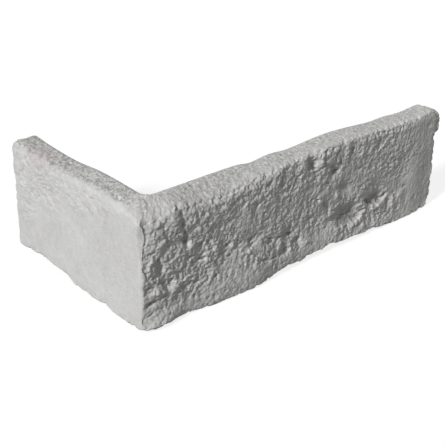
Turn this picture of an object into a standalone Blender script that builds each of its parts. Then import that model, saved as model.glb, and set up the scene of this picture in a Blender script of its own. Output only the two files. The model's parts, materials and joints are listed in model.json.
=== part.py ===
"""Corner brick slip: an L-shaped facing unit that wraps the outer corner of a wall.

It is cast in one piece. The two outer faces copy an old brick: a rough, pitted stretcher
side and a smooth header side, with worn arrises. The two inner faces are struck flat, and
take the adhesive. The slip stands on its lower bed.

The shape is modelled from the outer corner: X runs along the stretcher side, Y along the
header side and Z up. The finished solid is then moved, so that the origin lies at the level
of the lower bed, in the middle of the slip's footprint.
"""

import math
from collections import namedtuple

import bmesh
import bpy
from mathutils import Vector, noise

# Main sizes, in metres
STRETCHER = 0.226
HEADER = 0.116
HEIGHT = 0.065
STRETCHER_WALL = 0.015
HEADER_WALL = 0.014

# Roundings
INNER_FILLET = 0.005
CORNER_ARRIS = 0.0012
FACE_ARRIS = 0.0018
BACK_ARRIS = 0.0008
STRETCHER_TOP_ROUND = 0.0075
STRETCHER_FOOT_ROUND = 0.0063
HEADER_TOP_ROUND = 0.0045
HEADER_FOOT_ROUND = 0.003

# Spacing of the slices that give the faces points to wear away
STRETCHER_CELL = 0.0025
HEADER_CELL = 0.0055
HEIGHT_CELL = 0.0026
WALL_CELL = 0.00375

# How far into the wall a dent in the face, or a lifted arris, still shows
WEAR_REACH = 0.009
# How far below the upper bed, and above the lower one, a wavy arris drags the face along
UPPER_REACH = 0.022
LOWER_REACH = 0.016

# Worn arrises: (share of the side's length from the outer corner, rise in metres)
STRETCHER_TOP_FRONT = (
    (0.00, -0.0048), (0.06, -0.0042), (0.10, -0.0015), (0.16, -0.0038), (0.26, -0.0045),
    (0.35, -0.0012), (0.46, 0.0006), (0.56, 0.0018), (0.70, 0.0016), (0.90, 0.0002),
    (1.00, 0.0014),
)
STRETCHER_TOP_BACK = (
    (0.06, 0.0012), (0.14, 0.0014), (0.32, 0.0014), (0.36, 0.0001), (0.42, 0.0013), (0.48, 0.0005),
    (0.60, 0.0020), (0.68, 0.0014), (0.77, -0.0002), (0.83, 0.0), (0.89, -0.0008), (0.95, 0.0),
    (1.00, 0.0008),
)
STRETCHER_FOOT = (
    (0.00, 0.0014), (0.03, 0.0), (0.06, 0.0), (0.09, 0.0016), (0.13, 0.0), (0.33, 0.0),
    (0.37, 0.0010), (0.41, 0.0028), (0.45, 0.0031), (0.48, 0.0020), (0.51, 0.0030), (0.54, 0.0040),
    (0.57, 0.0034), (0.60, 0.0046), (0.63, 0.0031), (0.67, 0.0034), (0.70, 0.0027), (0.79, 0.0014),
    (0.84, 0.0), (0.96, 0.0), (1.00, 0.0012),
)
HEADER_TOP_FRONT = (
    (0.00, -0.0048), (0.10, -0.0020), (0.30, -0.0006), (0.65, -0.0010), (1.00, 0.0006),
)
HEADER_TOP_BACK = (
    (0.14, 0.0014), (0.35, 0.0017), (0.48, 0.0012), (0.62, -0.0004), (0.84, -0.0002), (1.00, 0.0012),
)
HEADER_FOOT = (
    (0.00, 0.0014), (0.09, 0.0005), (0.18, 0.0), (0.22, 0.0), (0.27, 0.0018), (0.36, 0.0001),
    (0.44, 0.0010), (0.51, 0.0002), (0.60, 0.0036), (0.70, 0.0036), (0.79, 0.0039), (0.85, 0.0029),
    (0.91, 0.0027), (1.00, 0.0014),
)

# The stretcher's end: a lump of cast paste near its top, over a shallow hollow
# (share of the height, how far the end stands out in metres)
END_LINE = (
    (0.00, 0.0), (0.30, 0.0), (0.52, -0.0008), (0.71, -0.0012), (0.76, 0.0016), (0.83, 0.0024),
    (0.90, 0.0014), (1.00, -0.0014),
)
# How far into the stretcher side the lump and the hollow fade out
END_REACH = 0.015
# The end of the stretcher face turns in by this much over this length
END_TURN = 0.0012
END_TURN_LENGTH = 0.022

# The outer corner is worn back from the stretcher face, most of all under its top
# (share of the height, how far back in metres)
CORNER_WEAR = (
    (0.00, 0.0005), (0.50, 0.0007), (0.68, 0.0018), (0.82, 0.0034), (0.88, 0.0032), (1.00, 0.0018),
)
CORNER_WEAR_LENGTH = 0.008

# The header face rolls over to its upper bed: how far in, over this much of the height, from
# this far behind the outer corner
HEADER_ROLL = 0.0018
HEADER_ROLL_HEIGHT = 0.0055
HEADER_ROLL_START = 0.020

# Dents and swells of the stretcher face, from its outer corner to its end. A mark's place is a
# share of the side's length and of its height. Its size, its depth and its tilt, in degrees,
# are its own. Its lean moves the deepest spot off its middle, as a share of the way to its rim.
Mark = namedtuple("Mark", "along up length height depth tilt lean_along lean_up")
STRETCHER_DENTS = (
    Mark(0.033, 0.238, 0.0120, 0.0055, 0.0013, 5, 0.1, 0),
    Mark(0.044, 0.546, 0.0090, 0.0150, 0.0008, 6, 0.5, 0.1),
    Mark(0.073, 0.362, 0.0110, 0.0060, 0.0012, -8, 0.3, 0),
    Mark(0.111, 0.862, 0.0050, 0.0160, 0.0013, 3, 0.2, 0),
    Mark(0.122, 0.669, 0.0060, 0.0100, 0.0020, 8, 0.1, 0),
    Mark(0.128, 0.266, 0.0130, 0.0050, 0.0006, -9, 0, 0.1),
    Mark(0.166, 0.462, 0.0090, 0.0055, 0.0009, 0, 0.1, -0.2),
    Mark(0.166, 0.569, 0.0060, 0.0070, 0.0006, 25, 0.1, 0),
    Mark(0.188, 0.585, 0.0060, 0.0060, 0.0006, 0, 0.1, 0.1),
    Mark(0.235, 0.477, 0.0110, 0.0070, 0.0009, -10, 0.2, -0.2),
    Mark(0.319, 0.423, 0.0080, 0.0060, 0.0010, 20, 0, 0.1),
    Mark(0.327, 0.715, 0.0060, 0.0130, 0.0010, 6, -0.2, 0),
    Mark(0.374, 0.362, 0.0130, 0.0060, 0.0010, -8, 0.2, 0),
    Mark(0.376, 0.212, 0.0180, 0.0050, 0.0008, -3, 0.2, 0),
    Mark(0.428, 0.203, 0.0070, 0.0060, 0.0014, 15, 0.2, 0),
    Mark(0.438, 0.354, 0.0150, 0.0065, 0.0009, -4, 0.1, -0.3),
    Mark(0.471, 0.262, 0.0080, 0.0065, 0.0010, -30, 0.3, -0.1),
    Mark(0.509, 0.908, 0.0110, 0.0095, 0.0021, -15, 0.3, -0.3),
    Mark(0.571, 0.462, 0.0070, 0.0110, 0.0011, 25, 0.2, -0.3),
    Mark(0.595, 0.769, 0.0120, 0.0060, 0.0011, 8, 0.1, -0.4),
    Mark(0.630, 0.323, 0.0260, 0.0130, 0.0023, 0, 0.82, -0.40),
    Mark(0.637, 0.562, 0.0150, 0.0080, 0.0007, -15, 0.3, -0.3),
    Mark(0.650, 0.923, 0.0070, 0.0060, 0.0008, 0, 0, -0.2),
    Mark(0.706, 0.285, 0.0090, 0.0050, 0.0008, 0, 0.2, -0.2),
    Mark(0.746, 0.385, 0.0270, 0.0140, 0.0018, -4, 0.45, -0.60),
    Mark(0.752, 0.862, 0.0080, 0.0060, 0.0010, 25, 0.2, -0.3),
    Mark(0.811, 0.246, 0.0070, 0.0075, 0.0014, 0, 0.3, 0),
)
STRETCHER_SWELLS = (
    Mark(0.065, 0.030, 0.0320, 0.0160, 0.0011, 0, 0, 0),
    Mark(0.046, 0.323, 0.0080, 0.0060, 0.0009, 10, 0, 0),
    Mark(0.086, 0.292, 0.0065, 0.0055, 0.0008, 0, 0, 0),
    Mark(0.086, 0.869, 0.0090, 0.0130, 0.0005, 0, 0.2, 0),
    Mark(0.139, 0.600, 0.0080, 0.0085, 0.0007, 0, 0, 0.2),
    Mark(0.301, 0.077, 0.0840, 0.0440, 0.0034, 0, 0, 0),
    Mark(0.447, 0.254, 0.0060, 0.0110, 0.0007, -10, 0, 0),
    Mark(0.538, 0.892, 0.0070, 0.0080, 0.0007, -20, -0.3, 0),
    Mark(0.612, 0.515, 0.0055, 0.0070, 0.0008, 0, 0, 0),
    Mark(0.614, 0.192, 0.0090, 0.0065, 0.0008, 0, 0, 0),
    Mark(0.717, 0.325, 0.0080, 0.0050, 0.0010, 4, 0, 0),
    Mark(0.761, 0.262, 0.0140, 0.0050, 0.0009, -2, 0, 0.3),
    Mark(0.810, 0.769, 0.0140, 0.0100, 0.0007, 20, 0, 0),
    Mark(0.830, 0.246, 0.0055, 0.0100, 0.0009, -5, 0, 0),
    Mark(0.862, 0.277, 0.0080, 0.0060, 0.0008, 10, 0, 0),
)
# How full a dent's bowl is: a higher number gives steeper sides and a flatter floor
BOWL = 1.5
# How far the marks' outlines wander from neat ovals, and over what length
WANDER = 0.0010
WANDER_LENGTH = 0.007

# Gentle unevenness of both faces, which the mould took from a hand-made brick
SWAY = 0.0005
SWAY_LENGTH = 0.017

# Edges that turn by more degrees than this are sharp
SHARP_TURN = 60
# Steps of the roundings: the fillet and the larger corners, the small corners, the faces, the backs
LARGE_STEPS = 4
SMALL_STEPS = 3
FACE_STEPS = 2
BACK_STEPS = 1
# Points closer than this are one point, and a slice this close to a point goes through it
MERGE = 1e-6
SLICE_SNAP = 2e-5


def smooth(t):
    """0 below 0, 1 above 1, and an even bend between."""
    t = min(max(t, 0.0), 1.0)
    return t * t * (3.0 - 2.0 * t)


def wavy_rise(points, share):
    """The rise of a worn arris at this share of its side, on a smooth line through its points."""
    last = len(points) - 1
    share = min(max(share, points[0][0]), points[last][0])
    here = max(index for index in range(last) if points[index][0] <= share)
    before, start = points[max(here - 1, 0)], points[here]
    end, after = points[here + 1], points[min(here + 2, last)]
    span = end[0] - start[0]
    t = (share - start[0]) / span
    leaving = (end[1] - before[1]) / (end[0] - before[0]) * span
    arriving = (after[1] - start[1]) / (after[0] - start[0]) * span
    bend = smooth(t)
    straight = start[1] + (end[1] - start[1]) * bend
    return straight + leaving * t * (1.0 - t) ** 2 - arriving * t * t * (1.0 - t)


def mark_depth(mark, along, up):
    """A mark's depth at a point of the stretcher face: none at its rim, all at its deepest spot."""
    right = along - mark.along * STRETCHER
    rise = up - mark.up * HEIGHT
    turn = math.radians(mark.tilt)
    across = (right * math.cos(turn) + rise * math.sin(turn)) / (mark.length / 2.0)
    upward = (rise * math.cos(turn) - right * math.sin(turn)) / (mark.height / 2.0)
    if across * across + upward * upward >= 1.0:
        return 0.0
    deepest = Vector((mark.lean_along, mark.lean_up))
    way = Vector((across, upward)) - deepest
    if way.length < MERGE:
        return mark.depth
    # The way from the deepest spot through this point meets the rim at this many times its length
    beside = deepest.dot(way)
    times = (math.sqrt(beside * beside + way.dot(way) * (1.0 - deepest.dot(deepest))) - beside) / way.dot(way)
    return mark.depth * (1.0 - times ** -BOWL)


def sway(point):
    """The gentle unevenness of the cast faces at a point."""
    return SWAY * noise.noise(point / SWAY_LENGTH)


def stretcher_inset(along, up):
    """How far the stretcher face lies behind its flat plane. Swells are negative."""
    stray = WANDER * noise.noise_vector(Vector((along, 0.0, up)) / WANDER_LENGTH)
    marked_along, marked_up = along + stray.x, up + stray.z
    dent = max(mark_depth(mark, marked_along, marked_up) for mark in STRETCHER_DENTS)
    swell = sum(mark_depth(mark, marked_along, marked_up) for mark in STRETCHER_SWELLS)
    turn_in = END_TURN * smooth((along - STRETCHER + END_TURN_LENGTH) / END_TURN_LENGTH)
    corner_wear = wavy_rise(CORNER_WEAR, up / HEIGHT) * (1.0 - smooth(along / CORNER_WEAR_LENGTH))
    return dent - swell + turn_in + corner_wear


def header_roll(along, up):
    """How far the header face has rolled in under its upper bed: a quarter of an oval."""
    share = max(0.0, 1.0 - (HEIGHT - up) / HEADER_ROLL_HEIGHT)
    rolled = 1.0 - math.sqrt(1.0 - min(share, 1.0) ** 2)
    return HEADER_ROLL * rolled * smooth(along / HEADER_ROLL_START)


def extruded_plan():
    """The L-shaped plan, raised to the slip's height."""
    plan = bmesh.new()
    outline = (
        (0.0, 0.0), (STRETCHER, 0.0), (STRETCHER, STRETCHER_WALL),
        (HEADER_WALL, STRETCHER_WALL), (HEADER_WALL, HEADER), (0.0, HEADER),
    )
    bed = plan.faces.new([plan.verts.new((x, y, 0.0)) for x, y in outline])
    raised = bmesh.ops.extrude_face_region(plan, geom=[bed])
    top = [item for item in raised["geom"] if isinstance(item, bmesh.types.BMVert)]
    bmesh.ops.translate(plan, vec=Vector((0.0, 0.0, HEIGHT)), verts=top)
    bmesh.ops.recalc_face_normals(plan, faces=plan.faces)
    return plan


def round_edges(block, chosen, radius, segments):
    """Rounds the edges whose two end points both satisfy the test."""
    edges = [edge for edge in block.edges if chosen(edge)]
    bmesh.ops.bevel(
        block, geom=edges, offset=radius, segments=segments, profile=0.5,
        affect="EDGES", clamp_overlap=True,
    )


def both_at(x=None, y=None, z=None):
    """A test for edges that lie at the given coordinates from end to end."""
    wanted = [(axis, value) for axis, value in enumerate((x, y, z)) if value is not None]

    def test(edge):
        ends = [vert.co for vert in edge.verts]
        return all(abs(end[axis] - value) < MERGE for end in ends for axis, value in wanted)

    return test


def round_block(block):
    """The inner fillet, the round corners of both ends, then the arrises of the faces and backs."""
    round_edges(block, both_at(x=HEADER_WALL, y=STRETCHER_WALL), INNER_FILLET, LARGE_STEPS)
    round_edges(block, both_at(x=STRETCHER, z=HEIGHT), STRETCHER_TOP_ROUND, LARGE_STEPS)
    round_edges(block, both_at(x=STRETCHER, z=0.0), STRETCHER_FOOT_ROUND, LARGE_STEPS)
    round_edges(block, both_at(y=HEADER, z=HEIGHT), HEADER_TOP_ROUND, LARGE_STEPS)
    round_edges(block, both_at(y=HEADER, z=0.0), HEADER_FOOT_ROUND, SMALL_STEPS)
    round_edges(block, both_at(x=0.0, y=0.0), CORNER_ARRIS, SMALL_STEPS)

    def is_sharp(edge):
        return len(edge.link_faces) == 2 and edge.calc_face_angle() > math.radians(SHARP_TURN)

    def on_outer_face(vert):
        at_corner = vert.co.x + vert.co.y < 2.0 * CORNER_ARRIS
        return abs(vert.co.x) < MERGE or abs(vert.co.y) < MERGE or at_corner

    def face_edge(edge):
        return is_sharp(edge) and all(on_outer_face(vert) for vert in edge.verts)

    round_edges(block, face_edge, FACE_ARRIS, FACE_STEPS)
    round_edges(block, is_sharp, BACK_ARRIS, BACK_STEPS)


def slice_block(block):
    """Cuts the faces into cells, so that they have points to wear away."""
    cuts = []
    for axis, cell, start, end in (
        (0, STRETCHER_CELL, 0.0, STRETCHER),
        (1, WALL_CELL, 0.0, STRETCHER_WALL),
        (1, HEADER_CELL, STRETCHER_WALL, HEADER),
        (2, HEIGHT_CELL, 0.0, HEIGHT),
    ):
        count = max(2, round((end - start) / cell))
        cuts += [(axis, start + (end - start) * step / count) for step in range(1, count)]
    for axis, place in cuts:
        normal = Vector((0.0, 0.0, 0.0))
        normal[axis] = 1.0
        everything = block.verts[:] + block.edges[:] + block.faces[:]
        bmesh.ops.bisect_plane(
            block, geom=everything, plane_co=normal * place, plane_no=normal, dist=SLICE_SNAP
        )
    bmesh.ops.triangulate(block, faces=block.faces)


def worn(point):
    """Where a point of the clean block lies on the worn slip."""
    x, y, z = point
    on_stretcher = y < x
    along, depth = (x, y) if on_stretcher else (y, x)
    side = STRETCHER if on_stretcher else HEADER
    wall = STRETCHER_WALL if on_stretcher else HEADER_WALL
    front, back, foot = (
        (STRETCHER_TOP_FRONT, STRETCHER_TOP_BACK, STRETCHER_FOOT)
        if on_stretcher
        else (HEADER_TOP_FRONT, HEADER_TOP_BACK, HEADER_FOOT)
    )
    share = along / side
    inward = min(depth / wall, 1.0)
    upper = wavy_rise(front, share) * (1.0 - inward) + wavy_rise(back, share) * inward
    lower = max(0.0, wavy_rise(foot, share)) * (1.0 - smooth(depth / WEAR_REACH))
    rise = upper * smooth(1.0 - (HEIGHT - z) / UPPER_REACH) + lower * smooth(1.0 - z / LOWER_REACH)
    inset = (stretcher_inset(x, z) + sway(point)) * (1.0 - smooth(y / WEAR_REACH))
    header_inset = (header_roll(y, z) + sway(point)) * (1.0 - smooth(x / WEAR_REACH))
    end = wavy_rise(END_LINE, z / HEIGHT) * smooth(1.0 - (STRETCHER - x) / END_REACH)
    return Vector((x + end + header_inset, y + inset, z + rise))


def centre_footprint(block):
    """Moves the slip so that the origin is in the middle of its footprint."""
    across = [vert.co.x for vert in block.verts]
    back = [vert.co.y for vert in block.verts]
    middle = Vector((min(across) + max(across), min(back) + max(back), 0.0)) / 2.0
    bmesh.ops.translate(block, vec=-middle, verts=block.verts)


def cast_paste():
    """Pale grey cast stone, matt."""
    paste = bpy.data.materials.new("cast_paste")
    paste.use_nodes = True
    shader = paste.node_tree.nodes["Principled BSDF"]
    shader.inputs["Base Color"].default_value = (0.57, 0.57, 0.56, 1.0)
    shader.inputs["Roughness"].default_value = 0.95
    shader.inputs["Metallic"].default_value = 0.0
    return paste


def corner_slip():
    block = extruded_plan()
    round_block(block)
    slice_block(block)
    for vert in block.verts:
        vert.co = worn(vert.co)
    centre_footprint(block)
    bmesh.ops.remove_doubles(block, verts=block.verts, dist=MERGE)
    bmesh.ops.recalc_face_normals(block, faces=block.faces)
    mesh = bpy.data.meshes.new("corner_slip")
    block.to_mesh(mesh)
    block.free()
    mesh.materials.append(cast_paste())
    slip = bpy.data.objects.new("corner_slip", mesh)
    bpy.context.scene.collection.objects.link(slip)
    return slip


for leftover in list(bpy.data.objects):
    bpy.data.objects.remove(leftover)
corner_slip()
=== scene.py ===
import json
import math
from collections import namedtuple

import bpy
import numpy as np
from mathutils import Matrix, Vector, noise
from mathutils.bvhtree import BVHTree
from mathutils.geometry import delaunay_2d_cdt


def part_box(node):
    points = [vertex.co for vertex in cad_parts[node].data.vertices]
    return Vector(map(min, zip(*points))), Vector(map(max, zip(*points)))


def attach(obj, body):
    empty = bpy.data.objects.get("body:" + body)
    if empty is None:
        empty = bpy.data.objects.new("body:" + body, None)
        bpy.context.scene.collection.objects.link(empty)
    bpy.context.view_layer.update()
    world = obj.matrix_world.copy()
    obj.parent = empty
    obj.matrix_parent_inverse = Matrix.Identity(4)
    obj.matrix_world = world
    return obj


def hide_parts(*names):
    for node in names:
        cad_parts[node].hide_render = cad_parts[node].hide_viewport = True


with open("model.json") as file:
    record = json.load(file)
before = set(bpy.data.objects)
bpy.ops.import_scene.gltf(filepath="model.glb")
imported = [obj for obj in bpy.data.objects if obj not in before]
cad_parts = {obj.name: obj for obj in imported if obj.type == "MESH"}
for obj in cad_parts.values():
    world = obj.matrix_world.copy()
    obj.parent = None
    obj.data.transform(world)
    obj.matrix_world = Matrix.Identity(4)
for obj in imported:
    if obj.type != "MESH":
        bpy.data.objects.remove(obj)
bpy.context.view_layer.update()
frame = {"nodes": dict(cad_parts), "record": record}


# The slip itself: one piece of pale cast stone, poured into a rubber mould taken from an old
# brick. The mould gave the outer faces and the worn arrises, and the backs were struck flat.
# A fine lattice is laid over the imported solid, which gives its size, its waves and its dents.

# Sizes in metres: the walls, the arrises, the fillet, the rounds and the lump of the ends, and the
# lattice's cells
WALL = 0.015
HEADER_WALL = 0.014
TURN = 0.022
ARRIS = 0.0020
CORNER_ARRIS = 0.0013
BACK_ARRIS = 0.0007
FILLET = 0.005
END_ROUNDS = {"stretcher": (0.0075, 0.0063), "header": (0.0045, 0.0030)}
LUMP_RISE = 0.0024
CELL = 0.00056
HEADER_CELL = 0.0009
DEPTH_CELL = 0.00075
BACK_CELL = 0.0030

solid = frame["nodes"]["corner_slip"]
low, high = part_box("corner_slip")
backs = {mount["name"]: mount["pos_m"] for mount in frame["record"]["mounts"]}
corner = Vector((backs["header_back"][0] - HEADER_WALL, backs["stretcher_back"][1] - WALL, 0.0))
STRETCHER = high.x - corner.x - LUMP_RISE
HEADER = high.y - corner.y
HEIGHT = 0.065


def evenly(points, count):
    """The same line again, with this many even steps."""
    points = np.array(points)
    walked = np.concatenate([[0.0], np.cumsum(np.linalg.norm(np.diff(points, axis=0), axis=1))])
    steps = np.linspace(0.0, walked[-1], count + 1)
    return np.stack([np.interp(steps, walked, points[:, axis]) for axis in (0, 1)], axis=1)


def bend(centre, radius, count=12):
    """A quarter turn from facing -X to facing -Y."""
    angles = np.linspace(math.pi, 1.5 * math.pi, count + 1)
    return [(centre[0] + radius * math.cos(a), centre[1] + radius * math.sin(a)) for a in angles]


# Stations along the slip: the place along its outside is negative on the header side
header_steps = round((HEADER - TURN) / HEADER_CELL)
turn_steps = round(2.0 * TURN / CELL)
stretcher_steps = round((STRETCHER - TURN) / CELL)
header_run = np.linspace(HEADER, TURN, header_steps + 1)
stretcher_run = np.linspace(TURN, STRETCHER, stretcher_steps + 1)
outer_turn = evenly(
    [(0.0, TURN)] + bend((CORNER_ARRIS, CORNER_ARRIS), CORNER_ARRIS) + [(TURN, 0.0)], turn_steps
)
inner_turn = evenly(
    [(HEADER_WALL, TURN)] + bend((HEADER_WALL + FILLET, WALL + FILLET), FILLET) + [(TURN, WALL)], turn_steps
)
stations = np.concatenate([-header_run, np.linspace(-TURN, TURN, turn_steps + 1)[1:-1], stretcher_run])


def plan_line(turn, header_x, stretcher_y):
    header = np.stack([np.full_like(header_run, header_x), header_run], axis=1)
    stretcher = np.stack([stretcher_run, np.full_like(stretcher_run, stretcher_y)], axis=1)
    return np.concatenate([header, turn[1:-1], stretcher])


outer_line = plan_line(outer_turn, 0.0, 0.0)
inner_line = plan_line(inner_turn, HEADER_WALL, WALL)


def on_plan(place, depth):
    """Where a place along the slip, at a share of its wall's depth, lies on the plan."""
    outside = np.stack([np.interp(place, stations, outer_line[:, axis]) for axis in (0, 1)], axis=-1)
    inside = np.stack([np.interp(place, stations, inner_line[:, axis]) for axis in (0, 1)], axis=-1)
    return outside + (inside - outside) * np.asarray(depth)[..., None]


# The solid's own upper and lower beds, felt with a plumb line near the face and near the back
skin = BVHTree.FromPolygons(
    [vert.co.copy() for vert in solid.data.vertices], [tuple(face.vertices) for face in solid.data.polygons]
)
FEEL_AT = (0.20, 0.88)
FEEL_IN = 0.0095
PLUMB_FROM = 0.2


def felt(depth, down):
    """The height of the upper or lower bed at every station."""
    inside_ends = np.clip(stations, -HEADER + FEEL_IN, STRETCHER - FEEL_IN)
    heights = []
    for x, y in on_plan(inside_ends, np.full_like(inside_ends, depth)):
        start = Vector((x + corner.x, y + corner.y, PLUMB_FROM if down else -PLUMB_FROM))
        hit = skin.ray_cast(start, Vector((0.0, 0.0, -1.0 if down else 1.0)))[0]
        heights.append(hit.z if hit else (HEIGHT if down else 0.0))
    return np.array(heights)


tops = [felt(depth, True) for depth in FEEL_AT]
feet = [felt(depth, False) for depth in FEEL_AT]


def bed_height(heights, place, depth):
    near, far = (np.interp(place, stations, line) for line in heights)
    return near + (far - near) * (depth - FEEL_AT[0]) / (FEEL_AT[1] - FEEL_AT[0])


def rounded(place, up, depth):
    """Rounds the plain block: the corners of both ends, then the arrises all round."""
    on_stretcher = place > 0.0
    to_end = np.where(on_stretcher, STRETCHER - place, HEADER + place)
    upper = up > HEIGHT / 2.0
    to_bed = np.where(upper, HEIGHT - up, up)
    on_long, on_short = (np.where(upper, *END_ROUNDS[leg]) for leg in ("stretcher", "header"))
    radius = np.where(on_stretcher, on_long, on_short)
    edge = np.minimum(to_end, to_bed)
    across, rise = np.maximum(radius - to_end, 0.0), np.maximum(radius - to_bed, 0.0)
    in_corner = (across > 0.0) & (rise > 0.0)
    reach = np.where(in_corner, np.hypot(across, rise), 1.0)
    shrink = np.where(in_corner, np.maximum(across, rise) / reach, 1.0)
    to_end = np.where(in_corner, radius - across * shrink, to_end)
    to_bed = np.where(in_corner, radius - rise * shrink, to_bed)
    # How the outline faces here: away from the end, away from the bed
    end_side = np.where(in_corner, across / reach, (edge == to_end) * 1.0)
    bed_side = np.where(in_corner, rise / reach, (edge != to_end) * 1.0)
    from_face, from_back = depth * WALL, (1.0 - depth) * WALL
    for from_side, arris, sign in ((from_face, ARRIS, 1.0), (from_back, BACK_ARRIS, -1.0)):
        inward, sideward = np.maximum(arris - from_side, 0.0), np.maximum(arris - edge, 0.0)
        on_arris = (inward > 0.0) & (sideward > 0.0)
        reach = np.where(on_arris, np.hypot(inward, sideward), 1.0)
        pull = np.where(on_arris, 1.0 - arris / reach, 0.0)
        depth = depth + sign * inward * pull / WALL
        to_end = to_end + end_side * sideward * pull
        to_bed = to_bed + bed_side * sideward * pull
    place = np.where(on_stretcher, STRETCHER - to_end, to_end - HEADER)
    return place, np.where(upper, HEIGHT - to_bed, to_bed), depth


def laid(place, up, depth):
    """The points of the rounded block, laid along the L and stretched to the solid's beds."""
    place, up, depth = rounded(place, up, depth)
    flat = on_plan(place, depth)
    share = up / HEIGHT
    top, foot = bed_height(tops, place, depth), bed_height(feet, place, depth)
    return np.concatenate([flat, (foot + (top - foot) * share)[..., None]], axis=-1)


rows = np.linspace(0.0, HEIGHT, round(HEIGHT / CELL) + 1)
slices = np.linspace(0.0, 1.0, round(WALL / DEPTH_CELL) + 1)
last_column, last_row, last_slice = len(stations) - 1, len(rows) - 1, len(slices) - 1

# The lattice's points, each on one of the block's outer sides, by column, row and slice
number = {}
spots = []


def point_number(column, row, level):
    key = (column, row, level)
    if key not in number:
        number[key] = len(spots)
        spots.append((stations[column], rows[row], slices[level]))
    return number[key]


quads = []
for column in range(last_column):
    for row in range(last_row):
        quads.append([point_number(column + a, row + b, 0) for a, b in ((0, 0), (1, 0), (1, 1), (0, 1))])
    for level in range(last_slice):
        for row, turn in ((last_row, 1), (0, -1)):
            ring = [point_number(column + a, row, level + b) for a, b in ((0, 0), (1, 0), (1, 1), (0, 1))]
            quads.append(ring[::turn])
for row in range(last_row):
    for level in range(last_slice):
        for column, turn in ((last_column, 1), (0, -1)):
            ring = [point_number(column, row + b, level + a) for a, b in ((0, 0), (1, 0), (1, 1), (0, 1))]
            quads.append(ring[::turn])
lattice_count = len(spots)
place, up, depth = np.array(spots).T
points = laid(place, up, depth) + np.array(corner)

# The struck back: a coarser net between the lattice's rear rims, fitted to their points
rim = [(column, last_row) for column in range(last_column + 1)]
rim += [(last_column, row) for row in range(last_row - 1, -1, -1)]
rim += [(column, 0) for column in range(last_column - 1, -1, -1)]
rim += [(0, row) for row in range(1, last_row)]
rim_numbers = [number[(column, row, last_slice)] for column, row in rim]
inner_walk = np.concatenate([[0.0], np.cumsum(np.linalg.norm(np.diff(inner_line, axis=0), axis=1))])
back_length = inner_walk[-1]
rim_flat = [(inner_walk[column], rows[row]) for column, row in rim]
turn_start, turn_end = inner_walk[header_steps], inner_walk[header_steps + turn_steps]
BACK_MARGIN = 0.0012
FILLET_POINTS = 15
across_back = np.concatenate([
    np.linspace(BACK_MARGIN, turn_start, round(turn_start / BACK_CELL)),
    np.linspace(turn_start, turn_end, FILLET_POINTS)[1:-1],
    np.linspace(turn_end, back_length - BACK_MARGIN, round((back_length - turn_end) / BACK_CELL)),
])
up_back = np.linspace(BACK_MARGIN, HEIGHT - BACK_MARGIN, round(HEIGHT / BACK_CELL))
inner_flat = [(t, h) for t in across_back for h in up_back]
rim_edges = [(i, (i + 1) % len(rim)) for i in range(len(rim))]
net_points = [Vector(spot) for spot in rim_flat + inner_flat]
INSIDE_RIM, MERGE_WITHIN = 1, 1e-7
net = delaunay_2d_cdt(net_points, rim_edges, [], INSIDE_RIM, MERGE_WITHIN)
net_source = [sources[0] for sources in net[3]]
net_numbers = [
    rim_numbers[source] if source < len(rim) else lattice_count + source - len(rim) for source in net_source
]
back_faces = [[net_numbers[i] for i in face][::-1] for face in net[2]]
walk, back_up = np.array(inner_flat).T
back_place = np.interp(walk, inner_walk, stations)
back_points = laid(back_place, back_up, np.ones_like(back_up)) + np.array(corner)


# The lattice is pressed onto the solid along its own slopes, and the solid's facets are evened
def plain_mesh(name, spots, faces):
    made = bpy.data.meshes.new(name)
    made.from_pydata([tuple(spot) for spot in spots], [], faces)
    made.update()
    return made


draft = plain_mesh("draft", points, quads)
slopes = np.array([vert.normal[:] for vert in draft.vertices])
PRESS_FROM, LEAST_FACING = 0.006, 0.2
PRESS_REACH = 2.2 * PRESS_FROM
pressed = points.copy()
for i in range(lattice_count):
    away = Vector(slopes[i])
    spot, facing = skin.ray_cast(Vector(points[i]) + away * PRESS_FROM, -away, PRESS_REACH)[:2]
    if spot and facing.dot(away) > LEAST_FACING:
        pressed[i] = spot
bpy.data.meshes.remove(draft)
joins = np.array([(a, b) for quad in quads for a, b in zip(quad, quad[1:] + quad[:1])])
valence = np.bincount(joins.ravel(), minlength=lattice_count)[:, None]
shift = pressed - points
EVENING = 5
for _ in range(EVENING):
    around = np.zeros_like(shift)
    np.add.at(around, joins[:, 0], shift[joins[:, 1]])
    np.add.at(around, joins[:, 1], shift[joins[:, 0]])
    shift = 0.5 * shift + 0.5 * around / valence
points = points + shift

all_points = np.concatenate([points, back_points])
all_place = np.concatenate([place, back_place])
all_up = np.concatenate([up, back_up])
all_depth = np.concatenate([depth, np.ones_like(back_up)])


# The hollows and lumps of the stretcher face, as the mould took them from the worn old brick.
# They are cast in, so they are hollows of the same paste. The solid holds the broad ones, and
# these are the fine ones: places and sizes in millimetres from the slip's outer corner.

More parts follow.
